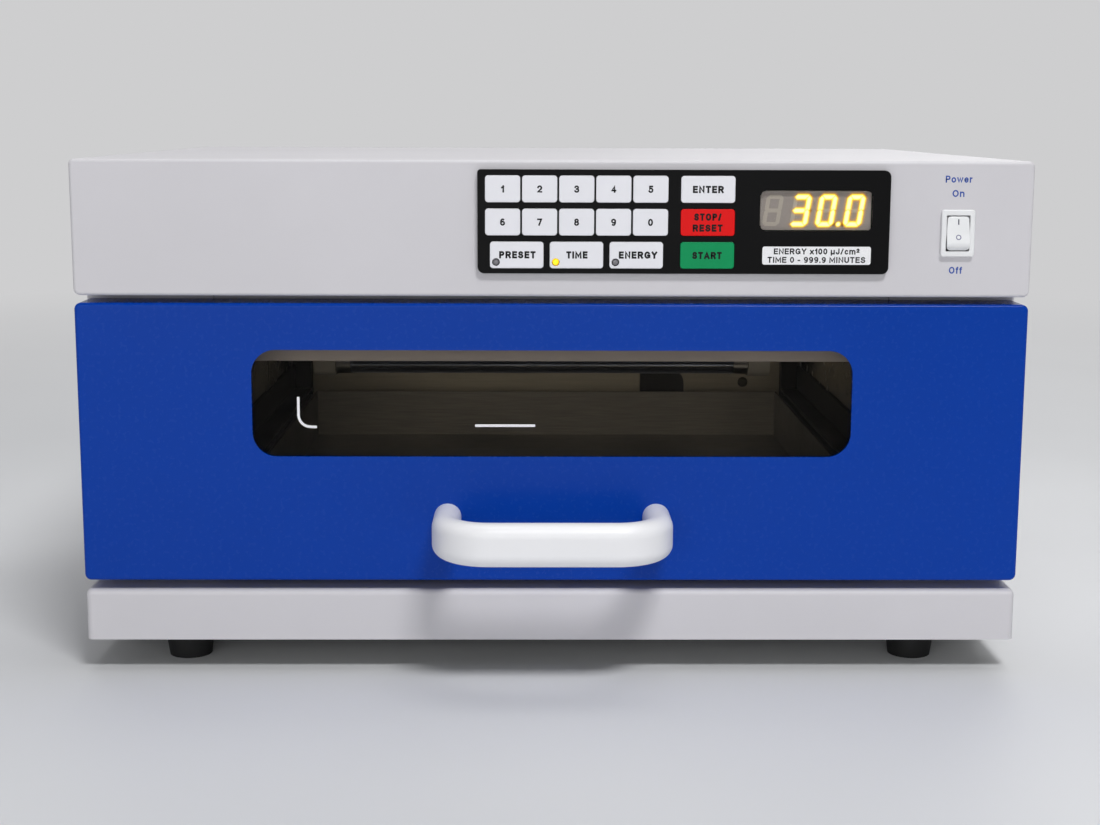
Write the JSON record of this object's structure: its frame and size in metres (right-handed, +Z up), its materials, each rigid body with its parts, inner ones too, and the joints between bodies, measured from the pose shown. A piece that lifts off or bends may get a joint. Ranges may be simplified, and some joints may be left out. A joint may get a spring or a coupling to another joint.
{
  "type": "uv crosslinker",
  "caption": "Bench cabinet with a windowed pull-out drawer on ball-bearing slides under a row of short ultraviolet lamps, with a keypad, display and power switch.",
  "frame": {"origin": "on the table under the middle of the whole object's box, handle and fuse cap included", "axes": "+X to the right seen from the front, +Y from the front to the rear, +Z up"},
  "size_m": [0.432, 0.384, 0.2365],
  "materials": {
    "light_paint": "satin powder coat with a fine orange-peel texture",
    "blue_paint": "satin powder coat with a fine orange-peel texture",
    "black_paint": "satin black paint",
    "zinc_steel": "zinc-plated sheet steel",
    "slide_steel": "rolled bright steel",
    "tray_steel": "stainless sheet, fine brushed",
    "bright_aluminium": "polished reflector sheet",
    "chamber_steel": "stainless sheet, bright rolled",
    "acrylic": "clear, lightly tinted acrylic",
    "lamp_glass": "clear quartz tube",
    "lamp_cap": "spun aluminium cap with brass pins",
    "socket_white": "white moulded plastic",
    "handle_white": "smooth glossy white plastic",
    "key_white": "satin white",
    "key_red": "satin red",
    "key_green": "satin green",
    "overlay_black": "fine-grained black polycarbonate",
    "display_dark": "dark display body",
    "display_filter": "smoked display window",
    "indicator": "small diffused indicator",
    "switch_white": "glossy white plastic",
    "inlet_black": "black moulded plastic",
    "sensor_black": "black moulded plastic",
    "catch_black": "black moulded plastic",
    "rubber": "black rubber",
    "board_green": "green circuit board",
    "ballast_grey": "white-grey enamelled can",
    "screw_steel": "zinc-plated steel"
  },
  "bodies": {
    "cabinet": {"upper_cover": "light_paint", "base_pan": "light_paint", "bottom_plate": "zinc_steel", "side_panel_left": "light_paint", "side_panel_right": "light_paint", "rear_panel": "light_paint", "electronics_deck": "zinc_steel", "front_rail": "light_paint", "chamber_back_wall": "chamber_steel", "side_reflectors": "bright_aluminium", "lamp_reflector": "bright_aluminium", "lamp_sockets": "socket_white", "uv_lamps": "lamp_glass", "lamp_end_caps": "lamp_cap", "ballasts": "ballast_grey", "power_board": "board_green", "control_board": "board_green", "overlay_panel": "overlay_black", "display_module": "display_dark", "display_lens": "display_filter", "indicator_leds": "indicator", "switch_frame": "switch_white", "mains_inlet": "inlet_black", "fuse_holder": "inlet_black", "uv_sensor": "sensor_black", "interlock_switch": "catch_black", "slide_cabinet_members": "slide_steel", "slide_brackets": "black_paint", "feet": "rubber", "foot_screws": "screw_steel", "cabinet_screws": "screw_steel", "magnet_catches": "catch_black"},
    "drawer": {"drawer_front": "blue_paint", "drawer_inner_panel": "blue_paint", "drawer_tray": "tray_steel", "window_pane": "acrylic", "window_clips": "screw_steel", "handle": "handle_white", "handle_screws": "screw_steel", "slide_drawer_members": "slide_steel"},
    "slide_middle": {"slide_mid_members": "slide_steel"},
    "cage_outer": {"slide_cages_outer": "screw_steel"},
    "cage_inner": {"slide_cages_inner": "screw_steel"},
    "rocker": {"power_rocker": "switch_white"},
    "key_0_cap": {"key_0": "key_white"},
    "key_1_cap": {"key_1": "key_white"},
    "key_2_cap": {"key_2": "key_white"},
    "key_3_cap": {"key_3": "key_white"},
    "key_4_cap": {"key_4": "key_white"},
    "key_5_cap": {"key_5": "key_white"},
    "key_6_cap": {"key_6": "key_white"},
    "key_7_cap": {"key_7": "key_white"},
    "key_8_cap": {"key_8": "key_white"},
    "key_9_cap": {"key_9": "key_white"},
    "key_preset_cap": {"key_preset": "key_white"},
    "key_time_cap": {"key_time": "key_white"},
    "key_energy_cap": {"key_energy": "key_white"},
    "key_enter_cap": {"key_enter": "key_white"},
    "key_stop_cap": {"key_stop": "key_red"},
    "key_start_cap": {"key_start": "key_green"}
  },
  "joints": [
    {"name": "drawer_slide", "type": "slide", "parent": "cabinet", "child": "drawer", "axis": [0, -1, 0], "range_m": [0, 0.25]},
    {"name": "slide_middle_travel", "type": "slide", "parent": "cabinet", "child": "slide_middle", "axis": [0, -1, 0], "range_m": [0, 0.125]},
    {"name": "cage_outer_travel", "type": "slide", "parent": "cabinet", "child": "cage_outer", "axis": [0, -1, 0], "range_m": [0, 0.0625]},
    {"name": "cage_inner_travel", "type": "slide", "parent": "cabinet", "child": "cage_inner", "axis": [0, -1, 0], "range_m": [0, 0.1875]},
    {"name": "rocker_tilt", "type": "hinge", "parent": "cabinet", "child": "rocker", "pos_m": [0.1819, -0.1463, 0.2045], "axis": [1, 0, 0], "range_deg": [0, 22]},
    {"name": "key_0_press", "type": "slide", "parent": "cabinet", "child": "key_0_cap", "axis": [0, 1, 0], "range_m": [0, 0.0005], "stiffness_N_per_m": 400},
    {"name": "key_1_press", "type": "slide", "parent": "cabinet", "child": "key_1_cap", "axis": [0, 1, 0], "range_m": [0, 0.0005], "stiffness_N_per_m": 400},
    {"name": "key_2_press", "type": "slide", "parent": "cabinet", "child": "key_2_cap", "axis": [0, 1, 0], "range_m": [0, 0.0005], "stiffness_N_per_m": 400},
    {"name": "key_3_press", "type": "slide", "parent": "cabinet", "child": "key_3_cap", "axis": [0, 1, 0], "range_m": [0, 0.0005], "stiffness_N_per_m": 400},
    {"name": "key_4_press", "type": "slide", "parent": "cabinet", "child": "key_4_cap", "axis": [0, 1, 0], "range_m": [0, 0.0005], "stiffness_N_per_m": 400},
    {"name": "key_5_press", "type": "slide", "parent": "cabinet", "child": "key_5_cap", "axis": [0, 1, 0], "range_m": [0, 0.0005], "stiffness_N_per_m": 400},
    {"name": "key_6_press", "type": "slide", "parent": "cabinet", "child": "key_6_cap", "axis": [0, 1, 0], "range_m": [0, 0.0005], "stiffness_N_per_m": 400},
    {"name": "key_7_press", "type": "slide", "parent": "cabinet", "child": "key_7_cap", "axis": [0, 1, 0], "range_m": [0, 0.0005], "stiffness_N_per_m": 400},
    {"name": "key_8_press", "type": "slide", "parent": "cabinet", "child": "key_8_cap", "axis": [0, 1, 0], "range_m": [0, 0.0005], "stiffness_N_per_m": 400},
    {"name": "key_9_press", "type": "slide", "parent": "cabinet", "child": "key_9_cap", "axis": [0, 1, 0], "range_m": [0, 0.0005], "stiffness_N_per_m": 400},
    {"name": "key_preset_press", "type": "slide", "parent": "cabinet", "child": "key_preset_cap", "axis": [0, 1, 0], "range_m": [0, 0.0005], "stiffness_N_per_m": 400},
    {"name": "key_time_press", "type": "slide", "parent": "cabinet", "child": "key_time_cap", "axis": [0, 1, 0], "range_m": [0, 0.0005], "stiffness_N_per_m": 400},
    {"name": "key_energy_press", "type": "slide", "parent": "cabinet", "child": "key_energy_cap", "axis": [0, 1, 0], "range_m": [0, 0.0005], "stiffness_N_per_m": 400},
    {"name": "key_enter_press", "type": "slide", "parent": "cabinet", "child": "key_enter_cap", "axis": [0, 1, 0], "range_m": [0, 0.0005], "stiffness_N_per_m": 400},
    {"name": "key_stop_press", "type": "slide", "parent": "cabinet", "child": "key_stop_cap", "axis": [0, 1, 0], "range_m": [0, 0.0005], "stiffness_N_per_m": 400},
    {"name": "key_start_press", "type": "slide", "parent": "cabinet", "child": "key_start_cap", "axis": [0, 1, 0], "range_m": [0, 0.0005], "stiffness_N_per_m": 400}
  ],
  "couplings": [
    {"joint": "slide_middle_travel", "follows": "drawer_slide", "ratio": 0.5},
    {"joint": "cage_outer_travel", "follows": "drawer_slide", "ratio": 0.25},
    {"joint": "cage_inner_travel", "follows": "drawer_slide", "ratio": 0.75}
  ]
}
